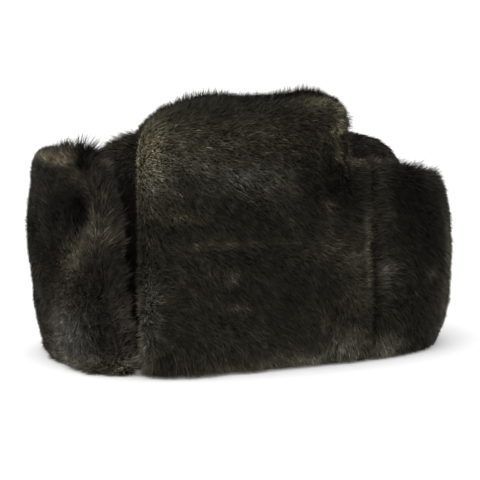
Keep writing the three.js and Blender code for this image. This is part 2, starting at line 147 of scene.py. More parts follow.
# Rows of width, front length and rear length as shares of the crown's foot, and z
CROWN_SECTION = np.array([
    (1, 1, 1, 0), (1, 1, 1, 30), (1, 1, 1, 62), (0.99, 0.995, 1, 92), (0.965, 0.975, 0.99, 108),
    (0.915, 0.94, 0.97, 120), (0.83, 0.88, 0.925, 129.5), (0.715, 0.79, 0.86, 135.5),
    (0.55, 0.66, 0.75, 139), (0.35, 0.46, 0.54, 141.8), (0.16, 0.22, 0.26, 142.8),
])

# Dents and swells: distance round the rim, distance up the flap, half width, half height and depth
FRONT_DENTS = [
    (42, 98, 24, 24, -11), (66, 84, 13, 50, 3), (-34, 88, 30, 34, 3), (62, 22, 12, 12, -4),
    (-8, 60, 30, 34, 2),
]
LEFT_EAR_DENTS = [
    (96, 54, 14, 34, 3), (142, 78, 40, 9, -3), (190, 66, 22, 16, 3), (190, 164, 22, 30, 5.5),
    (146, 40, 22, 12, -2.5),
]
RIGHT_EAR_DENTS = [(104, 66, 16, 34, 3), (156, 90, 40, 12, -3), (184, 54, 22, 18, 3)]
NECK_DENTS = [(238, 56, 14, 26, -3), (268, 74, 20, 26, 3)]


# The rim line and the flaps' sections

def smoothstep(value, low, high):
    share = np.clip((value - low) / (high - low), 0, 1)
    return share * share * (3 - 2 * share)


RIM_ANGLES = np.linspace(0, 2 * math.pi, 1441)
RIM_SIN = np.sin(RIM_ANGLES)
RIM_COS = np.cos(RIM_ANGLES)
RIM_POINTS = np.stack([
    RIM_HALF_WIDTH * np.sign(RIM_SIN) * np.abs(RIM_SIN) ** (2 / RIM_SQUARENESS),
    -RIM_HALF_LENGTH * np.sign(RIM_COS) * np.abs(RIM_COS) ** (2 / RIM_SQUARENESS),
], axis=1)
RIM_DISTANCES = np.concatenate([
    [0], np.cumsum(np.linalg.norm(np.diff(RIM_POINTS, axis=0), axis=1)),
])
RIM_LENGTH = RIM_DISTANCES[-1]


def rim_point(distance):
    wrapped = np.mod(distance, RIM_LENGTH)
    x = np.interp(wrapped, RIM_DISTANCES, RIM_POINTS[:, 0])
    y = np.interp(wrapped, RIM_DISTANCES, RIM_POINTS[:, 1])
    return np.stack([x, y], axis=-1)


def unit(vectors):
    return vectors / np.maximum(np.linalg.norm(vectors, axis=-1, keepdims=True), 1e-9)


def rim_normal(distance):
    along = unit(rim_point(distance + 3) - rim_point(distance - 3))
    return np.stack([along[..., 1], -along[..., 0]], axis=-1)


class FlapSection:
    """The curve up a flap's middle, read by the distance up it."""

    def __init__(self, rows):
        count = len(rows)
        places = np.linspace(0, count - 1, 1201)
        index = np.minimum(places.astype(int), count - 2)
        share = (places - index)[:, None]
        before = rows[np.maximum(index - 1, 0), :2]
        first = rows[index, :2]
        second = rows[index + 1, :2]
        after = rows[np.minimum(index + 2, count - 1), :2]
        leave = (second - before) / 2
        arrive = (after - first) / 2
        cube = 2 * first - 2 * second + leave + arrive
        square = -3 * first + 3 * second - 2 * leave - arrive
        self.curve = cube * share ** 3 + square * share ** 2 + leave * share + first
        steps = np.linalg.norm(np.diff(self.curve, axis=0), axis=1)
        self.along = np.concatenate([[0], np.cumsum(steps)])
        self.tangent = unit(np.gradient(self.curve, axis=0))
        stations = self.along[np.round(np.arange(count) / (count - 1) * 1200).astype(int)]
        self.half = np.interp(self.along, stations, rows[:, 2])

    def at(self, up):
        values = [self.curve[:, 0], self.curve[:, 1], self.tangent[:, 0], self.tangent[:, 1], self.half]
        return [np.interp(up, self.along, column) for column in values]


standing_section = FlapSection(STANDING_SECTION)
ear_section = FlapSection(EAR_SECTION)


def lean_out(foot, outward, out, z, across, rise):
    point = np.concatenate([foot + outward * out[..., None], z[..., None]], axis=-1)
    normal = np.concatenate([outward * rise[..., None], -across[..., None]], axis=-1)
    return point, unit(normal)


def standing_place(at, up):
    out, z, across, rise, half = standing_section.at(up)
    point, normal = lean_out(rim_point(at), rim_normal(at), out, z, across, rise)
    return point, normal, half


def ear_place(at, up, drawn):
    out, z, across, rise, half = ear_section.at(up)
    share = (at - EAR_FLAP_START) / (EAR_FLAP_NOTCH - EAR_FLAP_START)
    lean = smoothstep(z, LEAN_START, LEAN_END)
    slide = lean * np.maximum(-out, 0) * EAR_SLIDE + drawn * (1 - share) * smoothstep(z, 80, 140)
    outward = rim_normal(at + slide)
    outward = unit(outward * (1 - lean[..., None]) + np.array([1.0, 0.0]) * lean[..., None])
    point, normal = lean_out(rim_point(at + slide), outward, out, z, across, rise)
    seam = smoothstep(at, EAR_FLAP_NOTCH - 8, EAR_FLAP_NOTCH + 2)
    seam = (seam * (1 - smoothstep(up, NECK_FLAP_HEIGHT - 4, NECK_FLAP_HEIGHT + 20)))[..., None]
    beside, beside_normal, beside_half = standing_place(at, up)
    half = half * (1 - seam[..., 0]) + beside_half * seam[..., 0]
    return point * (1 - seam) + beside * seam, unit(normal * (1 - seam) + beside_normal * seam), half


def rounded_top(top, from_end, radius):
    share = np.clip(1 - from_end / radius, 0, 1)
    return top - radius * (1 - np.sqrt(1 - share * share))


def round_edge(distance, radius, least):
    share = np.clip(1 - distance / radius, 0, 1)
    return least + (1 - least) * np.sqrt(1 - share * share)


def dent_depth(dents, at, up):
    depth = np.zeros_like(at)
    for centre, height, wide, tall, out in dents:
        depth += out * np.exp(-((at - centre) / wide) ** 2 - ((up - height) / tall) ** 2)
    return depth


def soft_noise(points, scale, seed, waves=7):
    """Smooth noise from about -1 to 1, as a few waves whose length is about scale."""
    random = np.random.default_rng(seed)
    value = np.zeros(points.shape[:-1])
    for _ in range(waves):
        direction = unit(random.normal(size=3)) * 2 * math.pi / (scale * random.uniform(0.75, 1.5))
        value += np.sin(points @ direction + random.uniform(0, 2 * math.pi))
    return value / 3.2


def padding_waves(points, rows, seed=0):
    return sum(height * soft_noise(points, length, seed + own) for height, length, own in rows)


# Skins: the padded flaps and crown under the fur

def scene_object(name, data):
    made = bpy.data.objects.new(name, data)
    bpy.context.scene.collection.objects.link(made)
    return made


def mesh_object(name, points, faces):
    mesh = bpy.data.meshes.new(name)
    mesh.from_pydata([tuple(p) for p in points], [], [tuple(f) for f in faces])
    mesh.update()
    mesh.polygons.foreach_set("use_smooth", [True] * len(mesh.polygons))
    return scene_object(name, mesh)


def keep_values(made, name, values, kind="FLOAT", field="value"):
    attribute = made.data.attributes.new(name, kind, "POINT")
    attribute.data.foreach_set(field, np.asarray(values, dtype=np.float32).ravel())


def keep_nap(made, directions):
    keep_values(made, "nap", directions, "FLOAT_VECTOR", "vector")


def panel_faces(rows, columns, mirrored):
    """Quads of two matching grids, an outer and an inner one, closed round their border."""
    index = np.arange(2 * rows * columns).reshape(2, rows, columns)
    outer, inner = index
    groups = [
        np.stack([outer[:-1, :-1], outer[:-1, 1:], outer[1:, 1:], outer[1:, :-1]], axis=-1),
        np.stack([inner[:-1, :-1], inner[1:, :-1], inner[1:, 1:], inner[:-1, 1:]], axis=-1),
        np.stack([outer[:-1, 0], outer[1:, 0], inner[1:, 0], inner[:-1, 0]], axis=-1),
        np.stack([outer[:-1, -1], inner[:-1, -1], inner[1:, -1], outer[1:, -1]], axis=-1),
        np.stack([outer[0, :-1], inner[0, :-1], inner[0, 1:], outer[0, 1:]], axis=-1),
        np.stack([outer[-1, :-1], outer[-1, 1:], inner[-1, 1:], inner[-1, :-1]], axis=-1),
    ]
    faces = np.concatenate([group.reshape(-1, 4) for group in groups])
    return faces[:, ::-1] if mirrored else faces


def spread(start, end, count, crowd=0.35):
    """Values from start to end, closer together near both ends."""
    share = np.linspace(0, 1, count)
    return start + (end - start) * (share - crowd * np.sin(2 * math.pi * share) / (2 * math.pi))


def brushed(at, up, base, patches):
    """The nap's direction in radians, from a base and brushed patches given in degrees."""
    across = np.full_like(at, math.sin(math.radians(base)))
    rise = np.full_like(at, math.cos(math.radians(base)))
    for centre, height, wide, tall, towards, strength in patches:
        share = strength * np.exp(-((at - centre) / wide) ** 2 - ((up - height) / tall) ** 2)
        across += share * math.sin(math.radians(towards))
        rise += share * math.cos(math.radians(towards))
    return np.arctan2(across, rise)


def patched(at, up, base, patches):
    """A value over a flap: a base and soft patches added to it."""
    value = np.full_like(at, base)
    for centre, height, wide, tall, change in patches:
        value += change * np.exp(-((at - centre) / wide) ** 2 - ((up - height) / tall) ** 2)
    return value


def flap_fur(flap, at, up, kept):
    """What the fur does at each point of a flap's outer side, and of its hidden inner side."""
    pile = patched(at, up, flap["pile"], flap["piles"]) * MM
    lie = patched(at, up, flap["lie"], flap["lies"])
    # The tone is painted sheen and painted shade: above 1 some hairs are made paler, below 1 the hairs
    # are darkened
    tone = np.maximum(patched(at, up, 1.0, flap["tones"]), LEAST_TONE)
    rough = patched(at, up, RAGGED, flap["rags"]) + FOOT_RAGGED * (1 - smoothstep(up, 3, 14))
    rough = np.maximum(rough + EDGE_RAGGED * (1 - smoothstep(kept, 0.3, 1)), LEAST_RAGGED)
    # The tint of the painted sheen, cooler in patches
    warmth = patched(at, up, flap["warmth"], flap["cool"])
    inner_fill = np.where(kept < INNER_EDGE_SHARE, INNER_EDGE_FULLNESS, INNER_FULLNESS)
    return {
        "pile": (pile, INNER_PILE_SHARE * pile),
        "lie": (lie, np.full_like(lie, INNER_LIE)),
        "tone": (tone, np.full_like(tone, INNER_PAINTED_SHADE)),
        "ragged": (rough, rough),
        "warmth": (warmth, warmth),
        "fullness": (np.ones_like(lie), inner_fill),
    }


def flap_skin(flap):
    """A flap's padded panel. Its grid is laid out on the solid's outline, then drawn in by the fur."""
    columns = flap["columns"]
    share = spread(0, 1, flap["rows"])
    at = np.broadcast_to(columns, (len(share), len(columns))).copy()
    top = flap["height"](at)
    even = flap["even"]
    row = share[:, None] * flap["length"]
    up = np.minimum(row, even) + np.maximum(row - even, 0) / (flap["length"] - even) * (top - even)
    kept = flap["edge"](at, up, top)
    at_skin, up_skin = flap["drawn_in"](at, up, top)
    point, normal, half = flap["place"](at_skin, up_skin)
    wave = padding_waves(point, FLAP_WAVES, flap["seed"])
    relief = (dent_depth(flap["dents"], at, up) + wave) * smoothstep(kept, 0.4, 1)
    relief *= smoothstep(up, 0, 14)
    outer = point + normal * ((half - flap["outer_pile"]) * kept + relief)[..., None]
    inner = point - normal * ((half - flap["inner_pile"]) * kept)[..., None]
    for side in (outer, inner):
        side[..., 2] = np.maximum(side[..., 2], LEAST_LEVEL)
        side[0, :, 2] = FOOT_LEVEL
    along_up = unit(np.gradient(outer, axis=0))
    along_rim = unit(np.gradient(outer, axis=1))
    heading = brushed(at, up, flap["nap"], flap["brushed"])
    nap = unit(along_up * np.cos(heading)[..., None] + along_rim * np.sin(heading)[..., None])
    points = np.concatenate([outer.reshape(-1, 3), inner.reshape(-1, 3)])
    naps = np.concatenate([nap.reshape(-1, 3), nap.reshape(-1, 3)])
    if flap["mirrored"]:
        points[:, 0] *= -1
        naps[:, 0] *= -1
    faces = panel_faces(len(share), len(columns), flap["mirrored"])
    made = mesh_object(flap["name"] + "_padding", points * MM + home, faces)
    keep_nap(made, naps)
    for name, sides in flap_fur(flap, at, up, kept).items():
        keep_values(made, name, np.concatenate([side.ravel() for side in sides]))
    return made


def crown_outline(inset, count):
    at = np.arange(count) / count * RIM_LENGTH
    return rim_point(at) - rim_normal(at) * (FLAP_HALF_THICKNESS + PIECE_GAP + inset)


def crown_rings(inset, drop, count, levels):
    """Rings up the crown, eased between the section's rows."""
    rows = np.arange(len(CROWN_SECTION))
    steps = np.linspace(0, len(CROWN_SECTION) - 1, levels)
    width, front, rear, z = [np.interp(steps, rows, CROWN_SECTION[:, k]) for k in range(4)]
    rings = []
    for across, fore, aft, height in zip(width, front, rear, z):
        lean = smoothstep(np.array(height), 62, CROWN_HEIGHT) if inset else 0.0
        foot = crown_outline(inset * (1 - 0.75 * lean) + (0 if inset else CROWN_PILE), count)
        length = np.where(foot[:, 1] < 0, fore, aft)
        sunk = 0 if inset else CROWN_PILE * 0.8 * smoothstep(np.array(height), 100, 140)
        level = max(height - drop * lean - sunk, FOOT_LEVEL)
        ring = [foot[:, 0] * across, foot[:, 1] * length, np.full(count, level)]
        rings.append(np.stack(ring, axis=-1))
    return np.array(rings)


def crown_skin():
    """The crown's padded wall, up its outside, over its top and down its inside.

    Its fur is longer over the brow, and made paler on the front and rear shoulders as painted sheen."""
    count = CROWN_COLUMNS
    levels = CROWN_LEVELS
    outside = crown_rings(0, 0, count, levels)
    inside = crown_rings(CROWN_WALL, CROWN_WALL, count, levels)
    outside[..., 2] += padding_waves(outside, CROWN_WAVES) * smoothstep(outside[..., 2], 118, 134)
    rings = np.concatenate([outside, inside[::-1]])
    faces = []
    index = np.arange(rings.shape[0] * count).reshape(-1, count)
    beside = np.roll(index, -1, axis=1)
    for low in [*range(levels - 1), *range(levels, 2 * levels - 1)]:
        faces.append(np.stack([index[low], beside[low], beside[low + 1], index[low + 1]], axis=-1))
    faces.append(np.stack([index[-1], beside[-1], beside[0], index[0]], axis=-1))
    faces = [tuple(face) for group in faces for face in group]
    points = rings.reshape(-1, 3)
    for ring, turned in ((index[levels - 1], False), (index[levels], True)):
        middle = len(points)
        points = np.concatenate([points, points[ring].mean(axis=0, keepdims=True)])
        for first, second in zip(ring, np.roll(ring, -1)):
            faces.append((second, first, middle) if turned else (first, second, middle))
    made = mesh_object("crown_padding", points * MM + home, faces)
    towards = np.concatenate([unit(np.gradient(rings, axis=0)).reshape(-1, 3), [(0, 1, 0), (0, 1, 0)]])
    outer = np.zeros(len(points))
    outer[:levels * count] = 1
    outer[-2] = 1
    keep_nap(made, towards * -1)
    brow = np.exp(-((points[:, 1] - BROW_PLACE) / BROW_REACH) ** 2) * smoothstep(points[:, 2], 96, 122)
    keep_values(made, "pile", (CROWN_FUR_LENGTH + BROW_FUR_LENGTH * brow) * MM)
    keep_values(made, "lie", CROWN_LIE - BROW_LIFT * brow)
    # Painted sheen: the fur is made paler on the front and rear shoulders, where it catches the light
    shoulder_sheen_mask = smoothstep(-points[:, 1], 40, 62) * smoothstep(points[:, 2], 112, 127)
    rear = smoothstep(points[:, 1], 50, 80) * smoothstep(points[:, 2], 100, 120)
    keep_values(made, "tone", 1.0 + SHOULDER_SHEEN * shoulder_sheen_mask + REAR_SHEEN * rear)
    keep_values(made, "warmth", np.full(len(points), 1.0))
    keep_values(made, "ragged", np.full(len(points), CROWN_RAGGED))
    keep_values(made, "fullness", outer)
    return made


# Fur: tapered hairs set over a skin, leaning along its nap

HAIR_BEND = 0.3
HAIR_TIP = 0.97
AMOUNTS = (
    "Hairs per square metre", "Hair width", "Clump size", "Clumping", "Tuft size", "Tufting", "Stray",
    "Curling", "Length share",
)


def hair_blade(name, levels):
    """One hair of unit size: its root at the origin, rising along Z and bending a little along X."""
    points = []
    along = []
    for share in levels:
        half = 0.5 * (1 - share ** 2)
        bend = HAIR_BEND * share ** 2
        points += [(bend, -half, share), (bend, half, share)]
        along += [share, share]
    points.append((HAIR_BEND, 0.0, HAIR_TIP))
    along.append(1.0)
    faces = [(2 * i, 2 * i + 1, 2 * i + 3, 2 * i + 2) for i in range(len(levels) - 1)]
    last = 2 * (len(levels) - 1)
    faces.append((last, last + 1, last + 2))
    made = mesh_object(name, points, faces)
    keep_values(made, "along", along)
    return made


def fur_tree(hair, finish):
    """Nodes that scatter hairs over a skin and turn each along the skin's nap."""
    tree = bpy.data.node_groups.new("pile", "GeometryNodeTree")
    face = tree.interface
    kinds = {"Skin": "NodeSocketGeometry", "Seed": "NodeSocketInt"}
    kinds.update(dict.fromkeys(AMOUNTS, "NodeSocketFloat"))
    sockets = {}
    for label, kind in kinds.items():
        sockets[label] = face.new_socket(label, in_out="INPUT", socket_type=kind).identifier
    face.new_socket("Fur", in_out="OUTPUT", socket_type="NodeSocketGeometry")
    nodes = tree.nodes
    given = {socket.name: socket for socket in nodes.new("NodeGroupInput").outputs}

    def join(source, target):
        tree.links.new(source, target)

    def sums(operation, first, second, vector=False):
        node = nodes.new("ShaderNodeVectorMath" if vector else "ShaderNodeMath")
        node.operation = operation
        for slot, value in enumerate((first, second)):
            if isinstance(value, (int, float, tuple)):
                node.inputs[slot].default_value = value
            elif value is not None:
                join(value, node.inputs[slot])
        return node.outputs[0]

    def scaled(vector, amount):
        node = nodes.new("ShaderNodeVectorMath")
        node.operation = "SCALE"
        join(vector, node.inputs[0])
        if isinstance(amount, (int, float)):
            node.inputs["Scale"].default_value = amount
        else:
            join(amount, node.inputs["Scale"])
        return node.outputs[0]

    def kept(name, kind):
        node = nodes.new("GeometryNodeInputNamedAttribute")
        node.data_type = kind
        node.inputs["Name"].default_value = name
        return node.outputs["Attribute"]

    def chance(kind, low, high, offset):
        node = nodes.new("FunctionNodeRandomValue")
        node.data_type = kind
        wanted = {"FLOAT": 1, "FLOAT_VECTOR": 0}[kind]
        lows = [s for s in node.inputs if s.name == "Min"]
        highs = [s for s in node.inputs if s.name == "Max"]
        lows[wanted].default_value = low
        highs[wanted].default_value = high
        join(sums("ADD", given["Seed"], offset), node.inputs["Seed"])
        return node.outputs[wanted]

    def clumps(size, offset):
        node = nodes.new("ShaderNodeTexNoise")
        node.inputs["Detail"].default_value = 2.0
        position = nodes.new("GeometryNodeInputPosition").outputs[0]
        moved = sums("ADD", position, (offset, 0.37 * offset, -0.21 * offset), vector=True)
        join(moved, node.inputs["Vector"])
        join(sums("DIVIDE", 1.0, size), node.inputs["Scale"])
        return node

    scatter = nodes.new("GeometryNodeDistributePointsOnFaces")
    scatter.distribute_method = "RANDOM"
    join(given["Skin"], scatter.inputs["Mesh"])
    join(sums("MULTIPLY", given["Hairs per square metre"], kept("fullness", "FLOAT")),
         scatter.inputs["Density"])
    join(given["Seed"], scatter.inputs["Seed"])

    # The way each hair lies: the nap, turned by its clump, its tuft and a little by chance
    def centred(colour):
        return sums("SUBTRACT", colour, (0.5, 0.5, 0.5), vector=True)

    normal = scatter.outputs["Normal"]
    heading = kept("nap", "FLOAT_VECTOR")
    for turned in (
        scaled(centred(clumps(given["Clump size"], 3.0).outputs["Color"]), given["Clumping"]),
        scaled(centred(clumps(given["Tuft size"], 7.0).outputs["Color"]), given["Tufting"]),
        scaled(chance("FLOAT_VECTOR", (-1, -1, -1), (1, 1, 1), 5), given["Stray"]),
    ):
        heading = sums("ADD", heading, turned, vector=True)
    facing = nodes.new("ShaderNodeVectorMath")
    facing.operation = "DOT_PRODUCT"
    join(heading, facing.inputs[0])
    join(normal, facing.inputs[1])
    off = scaled(normal, facing.outputs["Value"])
    heading = sums("NORMALIZE", sums("SUBTRACT", heading, off, vector=True), None, vector=True)

    # Its length and lean
    lift = sums("SUBTRACT", clumps(sums("MULTIPLY", given["Clump size"], 1.7), 11.0).outputs[0], 0.5)
    lean = sums("ADD", kept("lie", "FLOAT"), sums("MULTIPLY", lift, 1.2))
    lean = sums("ADD", lean, chance("FLOAT", -0.25, 0.25, 7))
    ragged = sums("SUBTRACT", clumps(sums("MULTIPLY", given["Tuft size"], 1.3), 5.0).outputs[0], 0.5)
    ragged = sums("MULTIPLY", ragged, kept("ragged", "FLOAT"))
    length = kept("pile", "FLOAT")
    for share in (
        chance("FLOAT", 0.75, 1.1, 8),
        given["Length share"],
        sums("ADD", sums("MULTIPLY", lift, 0.8), 1.0),
        sums("MAXIMUM", sums("ADD", ragged, 1.0), 0.3),
    ):
        length = sums("MULTIPLY", length, share)
    upright = scaled(normal, sums("COSINE", lean, None))
    lying = scaled(heading, sums("SINE", lean, None))
    direction = sums("ADD", upright, lying, vector=True)
    turn = nodes.new("FunctionNodeAxesToRotation")
    turn.primary_axis = "Z"
    turn.secondary_axis = "X"
    join(direction, turn.inputs["Primary Axis"])
    around = scaled(chance("FLOAT_VECTOR", (-1, -1, -1), (1, 1, 1), 6), given["Curling"])
    join(sums("ADD", around, heading, vector=True), turn.inputs["Secondary Axis"])
    size = nodes.new("ShaderNodeCombineXYZ")
    join(length, size.inputs[0])
    join(given["Hair width"], size.inputs[1])
    join(length, size.inputs[2])

    model = nodes.new("GeometryNodeObjectInfo")
    model.inputs["Object"].default_value = hair
    model.inputs["As Instance"].default_value = True
    place = nodes.new("GeometryNodeInstanceOnPoints")
    join(scatter.outputs["Points"], place.inputs["Points"])
    join(model.outputs["Geometry"], place.inputs["Instance"])
    join(turn.outputs[0], place.inputs["Rotation"])
    join(size.outputs[0], place.inputs["Scale"])
    shade = nodes.new("GeometryNodeStoreNamedAttribute")
    shade.data_type = "FLOAT"
    shade.domain = "INSTANCE"
    shade.inputs["Name"].default_value = "shade"
    join(place.outputs[0], shade.inputs["Geometry"])
    join(chance("FLOAT", 0.0, 1.0, 9), shade.inputs["Value"])
    realize = nodes.new("GeometryNodeRealizeInstances")
    join(shade.outputs[0], realize.inputs[0])

    # The hairs keep only what their finish reads
    grown = realize.outputs[0]
    for name in ("nap", "pile", "lie", "fullness", "ragged"):
        clear = nodes.new("GeometryNodeRemoveAttribute")
        clear.inputs["Name"].default_value = name
        join(grown, clear.inputs["Geometry"])
        grown = clear.outputs[0]

    # No hair goes through the floor
    settle = nodes.new("GeometryNodeSetPosition")
    join(grown, settle.inputs["Geometry"])
    position = nodes.new("GeometryNodeInputPosition").outputs[0]
    join(sums("MAXIMUM", position, (-9.0, -9.0, 0.0003), vector=True), settle.inputs["Position"])
    finishing = nodes.new("GeometryNodeSetMaterial")
    finishing.inputs["Material"].default_value = finish
    join(settle.outputs[0], finishing.inputs["Geometry"])
    join(finishing.outputs[0], nodes.new("NodeGroupOutput").inputs[0])
    return tree, sockets


def furred_area(skin):
    """The area to cover, in square metres, counting each face by its fullness."""
    mesh = skin.data
    fullness = np.empty(len(mesh.vertices), dtype=np.float32)
    mesh.attributes["fullness"].data.foreach_get("value", fullness)
    return sum(p.area * float(np.mean(fullness[list(p.vertices)])) for p in mesh.polygons)


def grow_fur(name, skin, hair, finish, hairs, width, coat, stray, curling, longer, seed):
    tree, sockets = fur_tree(hair, finish)
    bed = scene_object(name + "_bed", skin.data)
    growing = bed.modifiers.new("pile", "NODES")
    growing.node_group = tree
    clump, clumping, tuft, tufting = coat
    density = hairs / furred_area(skin)
    amounts = (density, width * MM, clump * MM, clumping, tuft * MM, tufting, stray, curling, longer)
    for label, value in zip(AMOUNTS, amounts):
        growing[sockets[label]] = value
    growing[sockets["Seed"]] = seed
    bpy.context.view_layer.update()
    depsgraph = bpy.context.evaluated_depsgraph_get()
    mesh = bpy.data.meshes.new_from_object(
        bed.evaluated_get(depsgraph), preserve_all_data_layers=True, depsgraph=depsgraph)
    mesh.name = name
    bpy.data.objects.remove(bed)
    return scene_object(name, mesh)


# Finishes

def finish_nodes(name):
    material = bpy.data.materials.new(name)
    material.use_nodes = True
    nodes = material.node_tree.nodes
    return material, nodes, material.node_tree.links, nodes["Principled BSDF"]


def colour_ramp(nodes, stops):
    ramp = nodes.new("ShaderNodeValToRGB")
    elements = ramp.color_ramp.elements
    while len(elements) < len(stops):
        elements.new(0.5)
    for element, (place, colour) in zip(elements, stops):
        element.position = place
        element.color = (*colour, 1.0)
    return ramp


def named_value(nodes, name):
    node = nodes.new("ShaderNodeAttribute")
    node.attribute_name = name
    return node.outputs["Fac"]


def multiply_colours(nodes, links, first, second):
    node = nodes.new("ShaderNodeMix")
    node.data_type = "RGBA"
    node.blend_type = "MULTIPLY"
    node.inputs["Factor"].default_value = 1.0
    colours = [s for s in node.inputs if s.type == "RGBA"]
    links.new(first, colours[0])
    links.new(second, colours[1])
    return [s for s in node.outputs if s.type == "RGBA"][0]


def joined_value(nodes, links, operation, *values):
    node = nodes.new("ShaderNodeMath")
    node.operation = operation
    for slot, value in enumerate(values):
        if isinstance(value, (int, float)):
            node.inputs[slot].default_value = value
        else:
            links.new(value, node.inputs[slot])
    return node.outputs[0]


def object_noise(nodes, links, scale, detail):
    """Noise that stays with the piece."""
    where = nodes.new("ShaderNodeTexCoord")
    noise = nodes.new("ShaderNodeTexNoise")
    noise.inputs["Scale"].default_value = scale
    noise.inputs["Detail"].default_value = detail
    links.new(where.outputs["Object"], noise.inputs["Vector"])
    return noise.outputs[0]


def add_bump(nodes, links, shader, height, strength, distance):
    bump = nodes.new("ShaderNodeBump")
    bump.inputs["Strength"].default_value = strength
    bump.inputs["Distance"].default_value = distance
    links.new(height, bump.inputs["Height"])
    links.new(bump.outputs["Normal"], shader.inputs["Normal"])


def ramped(nodes, links, value, stops):
    ramp = colour_ramp(nodes, stops)
    links.new(value, ramp.inputs["Fac"])
    return ramp.outputs["Color"]


# How the fur's colour varies, each as place and colour: by hair, by patch and by tuft
HAIR_SHADES = [
    (0.0, (0.55, 0.55, 0.55)), (0.75, (1.0, 0.99, 0.97)), (0.98, (1.5, 1.45, 1.38)),
    (1.0, (2.8, 2.7, 2.5)),
]
PATCH_SHADES = [(0.35, (0.7, 0.7, 0.7)), (0.65, (1.2, 1.2, 1.2))]
TUFT_SHADES = [(0.36, (0.68, 0.68, 0.68)), (0.56, (1.0, 1.0, 1.0)), (0.7, (1.45, 1.45, 1.45))]
PATCH_NOISE = (26.0, 4.0)
TUFT_NOISE = (170.0, 3.0)
# Painted shade at the hairs' roots, where the hairs shade each other
PAINTED_ROOT_SHADE = (0.0025, 0.0023, 0.0019)
MID_HAIR = 0.55
FUR_SPECULAR = 0.12

# What warmth adds to red, green and blue in a hair's painted sheen
WARM_TINT = (0.04, 0.0, -0.09)


def sheen_and_shade_tone(nodes, links):
    """How much painted sheen makes a hair paler, which only some hairs in a sheen patch are, and how
    much painted shade darkens it.
    """
    change = joined_value(nodes, links, "SUBTRACT", named_value(nodes, "tone"), 1.0)
    pick = joined_value(nodes, links, "MULTIPLY", named_value(nodes, "shade"), 17.0)
    pick = joined_value(nodes, links, "POWER", joined_value(nodes, links, "FRACT", pick), 2.0)
    pick = joined_value(nodes, links, "MULTIPLY_ADD", pick, 1.65, 0.45)
    above = joined_value(nodes, links, "MAXIMUM", change, 0.0)
    below = joined_value(nodes, links, "MINIMUM", change, 0.0)
    paler = joined_value(nodes, links, "MULTIPLY", above, pick)
    darker = joined_value(nodes, links, "ADD", below, 1.0)
    return paler, darker


def fur_finish(name, tip):
    """Hair: dark at the root as painted shade, paler at the tip, paler or darker by its tone as painted
    sheen and painted shade, each hair and each patch a little different.
    """
    material, nodes, links, shader = finish_nodes(name)
    mixed = ramped(nodes, links, named_value(nodes, "along"), [
        (0.0, PAINTED_ROOT_SHADE), (MID_HAIR, tuple(MID_HAIR * c for c in tip)), (1.0, tip),
    ])
    for value, stops in [
        (named_value(nodes, "shade"), HAIR_SHADES),
        (object_noise(nodes, links, *PATCH_NOISE), PATCH_SHADES),
        (object_noise(nodes, links, *TUFT_NOISE), TUFT_SHADES),
    ]:
        mixed = multiply_colours(nodes, links, mixed, ramped(nodes, links, value, stops))
    # The tone: painted sheen, tinted by warmth, and painted shade
    tone = nodes.new("ShaderNodeCombineColor")
    paler, darker = sheen_and_shade_tone(nodes, links)
    for channel, weight in enumerate(WARM_TINT):
        tint = joined_value(nodes, links, "MULTIPLY_ADD", named_value(nodes, "warmth"), weight, 1.0)
        share = joined_value(nodes, links, "MULTIPLY_ADD", paler, tint, darker)
        links.new(share, tone.inputs[channel])
    mixed = multiply_colours(nodes, links, mixed, tone.outputs[0])
    links.new(mixed, shader.inputs["Base Color"])
    shader.inputs["Roughness"].default_value = 0.5
    shader.inputs["Specular IOR Level"].default_value = FUR_SPECULAR
    return material


def backing_finish(name, colour):
    """The knitted backing between the hairs' roots."""
    material, nodes, links, shader = finish_nodes(name)
    grain = object_noise(nodes, links, 700.0, 3.0)
    tone = ramped(nodes, links, grain, [(0.3, tuple(0.5 * c for c in colour)), (0.7, colour)])
    links.new(tone, shader.inputs["Base Color"])
    add_bump(nodes, links, shader, grain, 0.6, 0.6 * MM)
    shader.inputs["Roughness"].default_value = 0.9
    shader.inputs["Specular IOR Level"].default_value = 0.08
    return material


def ribbon_finish():
    """A woven ribbon with fine ribs across it."""
    material, nodes, links, shader = finish_nodes("ribbon_weave")
    where = nodes.new("ShaderNodeTexCoord")
    ribs = nodes.new("ShaderNodeTexWave")
    ribs.inputs["Scale"].default_value = 330.0
    ribs.inputs["Distortion"].default_value = 0.4
    links.new(where.outputs["Object"], ribs.inputs["Vector"])
    tone = ramped(nodes, links, ribs.outputs["Fac"], [
        (0.1, (0.003, 0.003, 0.003)), (0.9, (0.013, 0.013, 0.014)),
    ])
    links.new(tone, shader.inputs["Base Color"])
    add_bump(nodes, links, shader, ribs.outputs["Fac"], 0.5, 0.3 * MM)
    shader.inputs["Roughness"].default_value = 0.5
    shader.inputs["Specular IOR Level"].default_value = 0.2
    return material


# The floor, the backdrop, the light and the camera

FLOOR_NEAR = -3.2
FLOOR_FAR = 2.2
FLOOR_HALF_WIDTH = 3.5
BACKDROP_BEND = 1.2
BACKDROP_TOP = 3.6
BEND_STEPS = 12
CAMERA_AZIMUTH = math.radians(67.8)
CAMERA_ELEVATION = math.radians(10.1)
CAMERA_DISTANCE = 1.0
CAMERA_LENS = 111.6
CAMERA_ROLL = math.radians(-1.1)
CAMERA_ASIDE = 0.00175
CAMERA_ABOVE = 0.0698
LIGHT_PLACE = (0.3, -0.5, 1.9)
LIGHT_AIM = (0, 0, 0.05)
LIGHT_SIZE = (2.2, 2.2)
LIGHT_POWER = 24
SKY_STRENGTH = 0.92


